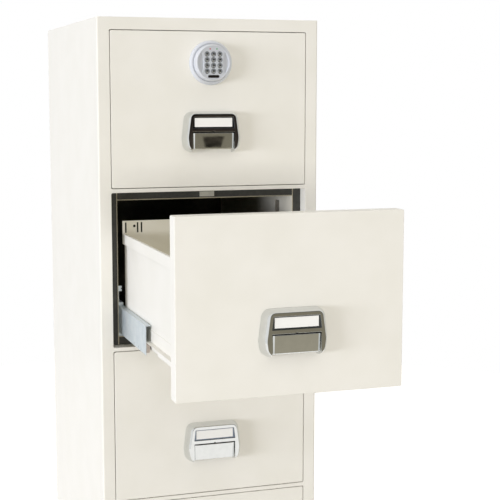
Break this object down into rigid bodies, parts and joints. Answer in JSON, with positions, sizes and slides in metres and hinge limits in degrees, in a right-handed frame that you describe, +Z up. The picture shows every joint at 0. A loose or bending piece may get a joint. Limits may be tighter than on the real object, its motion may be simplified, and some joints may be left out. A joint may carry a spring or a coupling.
{
  "type": "fireproof filing cabinet",
  "caption": "Tall insulated steel cabinet of filing drawers on telescopic roller slides, with chromed pull handles and a turning keypad lock on the top drawer.",
  "frame": {"origin": "on the floor at the centre of the cabinet's underside, with the drawers' travel left out", "axes": "+Z up, -Y to the front where the drawers open, +X to the right seen from the front"},
  "size_m": [0.53, 1.254, 1.5201],
  "materials": {
    "cream_paint": "cream powder coat on sheet steel, satin",
    "liner_paint": "cream primer on the inner liner, matt",
    "dark_seal": "dark grey intumescent seal board",
    "insulation": "cast mineral insulation, hidden",
    "zinc": "bright zinc plated sheet steel",
    "chrome": "polished chrome on a zinc casting",
    "satin_silver": "satin silver painted casting"
  },
  "bodies": {
    "cabinet": {"outer_casing": "cream_paint", "back_panel": "cream_paint", "base_pan": "cream_paint", "wall_insulation": "insulation", "seal_frame": "dark_seal", "liner_1": "liner_paint", "fixed_slide_left_1": "zinc", "fixed_slide_right_1": "zinc", "liner_2": "liner_paint", "fixed_slide_left_2": "zinc", "fixed_slide_right_2": "zinc", "liner_3": "liner_paint", "fixed_slide_left_3": "zinc", "fixed_slide_right_3": "zinc", "liner_4": "liner_paint", "fixed_slide_left_4": "zinc", "fixed_slide_right_4": "zinc"},
    "drawer_1": {"tray_1": "cream_paint", "front_pan_1": "cream_paint", "head_insulation_1": "insulation", "handle_1": "chrome", "lock_base": "satin_silver"},
    "slides_1": {"middle_slide_left_1": "zinc", "middle_slide_right_1": "zinc"},
    "flap_1": {"handle_flap_1": "chrome"},
    "drawer_2": {"tray_2": "cream_paint", "front_pan_2": "cream_paint", "head_insulation_2": "insulation", "handle_2": "chrome"},
    "slides_2": {"middle_slide_left_2": "zinc", "middle_slide_right_2": "zinc"},
    "flap_2": {"handle_flap_2": "chrome"},
    "drawer_3": {"tray_3": "cream_paint", "front_pan_3": "cream_paint", "head_insulation_3": "insulation", "handle_3": "chrome"},
    "slides_3": {"middle_slide_left_3": "zinc", "middle_slide_right_3": "zinc"},
    "flap_3": {"handle_flap_3": "chrome"},
    "drawer_4": {"tray_4": "cream_paint", "front_pan_4": "cream_paint", "head_insulation_4": "insulation", "handle_4": "chrome"},
    "slides_4": {"middle_slide_left_4": "zinc", "middle_slide_right_4": "zinc"},
    "flap_4": {"handle_flap_4": "chrome"},
    "knob": {"lock_knob": "satin_silver"},
    "lock_bar": {"lock_bar": "zinc"},
    "key_1": {"button_1": "chrome"},
    "key_2": {"button_2": "chrome"},
    "key_3": {"button_3": "chrome"},
    "key_4": {"button_4": "chrome"},
    "key_5": {"button_5": "chrome"},
    "key_6": {"button_6": "chrome"},
    "key_7": {"button_7": "chrome"},
    "key_8": {"button_8": "chrome"},
    "key_9": {"button_9": "chrome"},
    "key_10": {"button_10": "chrome"},
    "key_11": {"button_11": "chrome"},
    "key_12": {"button_12": "chrome"}
  },
  "joints": [
    {"name": "drawer_1_slide", "type": "slide", "parent": "cabinet", "child": "drawer_1", "axis": [0, -1, 0], "range_m": [0, 0.552]},
    {"name": "slides_1_extend", "type": "slide", "parent": "cabinet", "child": "slides_1", "axis": [0, -1, 0], "range_m": [0, 0.276]},
    {"name": "flap_1_pull", "type": "hinge", "parent": "drawer_1", "child": "flap_1", "pos_m": [0, -0.3599, 1.2553], "axis": [-1, 0, 0], "range_deg": [0, 20], "stiffness_Nm_per_rad": 0.4},
    {"name": "drawer_2_slide", "type": "slide", "parent": "cabinet", "child": "drawer_2", "axis": [0, -1, 0], "range_m": [-0.552, 0]},
    {"name": "slides_2_extend", "type": "slide", "parent": "cabinet", "child": "slides_2", "axis": [0, -1, 0], "range_m": [-0.276, 0]},
    {"name": "flap_2_pull", "type": "hinge", "parent": "drawer_2", "child": "flap_2", "pos_m": [0, -0.9119, 0.887], "axis": [-1, 0, 0], "range_deg": [0, 20], "stiffness_Nm_per_rad": 0.4},
    {"name": "drawer_3_slide", "type": "slide", "parent": "cabinet", "child": "drawer_3", "axis": [0, -1, 0], "range_m": [0, 0.552]},
    {"name": "slides_3_extend", "type": "slide", "parent": "cabinet", "child": "slides_3", "axis": [0, -1, 0], "range_m": [0, 0.276]},
    {"name": "flap_3_pull", "type": "hinge", "parent": "drawer_3", "child": "flap_3", "pos_m": [0, -0.3599, 0.5187], "axis": [-1, 0, 0], "range_deg": [0, 20], "stiffness_Nm_per_rad": 0.4},
    {"name": "drawer_4_slide", "type": "slide", "parent": "cabinet", "child": "drawer_4", "axis": [0, -1, 0], "range_m": [0, 0.552]},
    {"name": "slides_4_extend", "type": "slide", "parent": "cabinet", "child": "slides_4", "axis": [0, -1, 0], "range_m": [0, 0.276]},
    {"name": "flap_4_pull", "type": "hinge", "parent": "drawer_4", "child": "flap_4", "pos_m": [0, -0.3599, 0.1504], "axis": [-1, 0, 0], "range_deg": [0, 20], "stiffness_Nm_per_rad": 0.4},
    {"name": "knob_turn", "type": "hinge", "parent": "drawer_1", "child": "knob", "pos_m": [0, -0.3375, 1.4192], "axis": [0, 1, 0], "range_deg": [0, 90]},
    {"name": "lock_bar_lift", "type": "slide", "parent": "cabinet", "child": "lock_bar", "axis": [0, 0, 1], "range_m": [0, 0.012]},
    {"name": "key_1_press", "type": "slide", "parent": "knob", "child": "key_1", "axis": [0, 1, 0], "range_m": [0, 0.0012], "stiffness_N_per_m": 600},
    {"name": "key_2_press", "type": "slide", "parent": "knob", "child": "key_2", "axis": [0, 1, 0], "range_m": [0, 0.0012], "stiffness_N_per_m": 600},
    {"name": "key_3_press", "type": "slide", "parent": "knob", "child": "key_3", "axis": [0, 1, 0], "range_m": [0, 0.0012], "stiffness_N_per_m": 600},
    {"name": "key_4_press", "type": "slide", "parent": "knob", "child": "key_4", "axis": [0, 1, 0], "range_m": [0, 0.0012], "stiffness_N_per_m": 600},
    {"name": "key_5_press", "type": "slide", "parent": "knob", "child": "key_5", "axis": [0, 1, 0], "range_m": [0, 0.0012], "stiffness_N_per_m": 600},
    {"name": "key_6_press", "type": "slide", "parent": "knob", "child": "key_6", "axis": [0, 1, 0], "range_m": [0, 0.0012], "stiffness_N_per_m": 600},
    {"name": "key_7_press", "type": "slide", "parent": "knob", "child": "key_7", "axis": [0, 1, 0], "range_m": [0, 0.0012], "stiffness_N_per_m": 600},
    {"name": "key_8_press", "type": "slide", "parent": "knob", "child": "key_8", "axis": [0, 1, 0], "range_m": [0, 0.0012], "stiffness_N_per_m": 600},
    {"name": "key_9_press", "type": "slide", "parent": "knob", "child": "key_9", "axis": [0, 1, 0], "range_m": [0, 0.0012], "stiffness_N_per_m": 600},
    {"name": "key_10_press", "type": "slide", "parent": "knob", "child": "key_10", "axis": [0, 1, 0], "range_m": [0, 0.0012], "stiffness_N_per_m": 600},
    {"name": "key_11_press", "type": "slide", "parent": "knob", "child": "key_11", "axis": [0, 1, 0], "range_m": [0, 0.0012], "stiffness_N_per_m": 600},
    {"name": "key_12_press", "type": "slide", "parent": "knob", "child": "key_12", "axis": [0, 1, 0], "range_m": [0, 0.0012], "stiffness_N_per_m": 600}
  ],
  "couplings": [
    {"joint": "slides_1_extend", "follows": "drawer_1_slide", "ratio": 0.5},
    {"joint": "slides_2_extend", "follows": "drawer_2_slide", "ratio": 0.5},
    {"joint": "slides_3_extend", "follows": "drawer_3_slide", "ratio": 0.5},
    {"joint": "slides_4_extend", "follows": "drawer_4_slide", "ratio": 0.5},
    {"joint": "lock_bar_lift", "follows": "knob_turn", "m_per_rad": 0.0076}
  ]
}
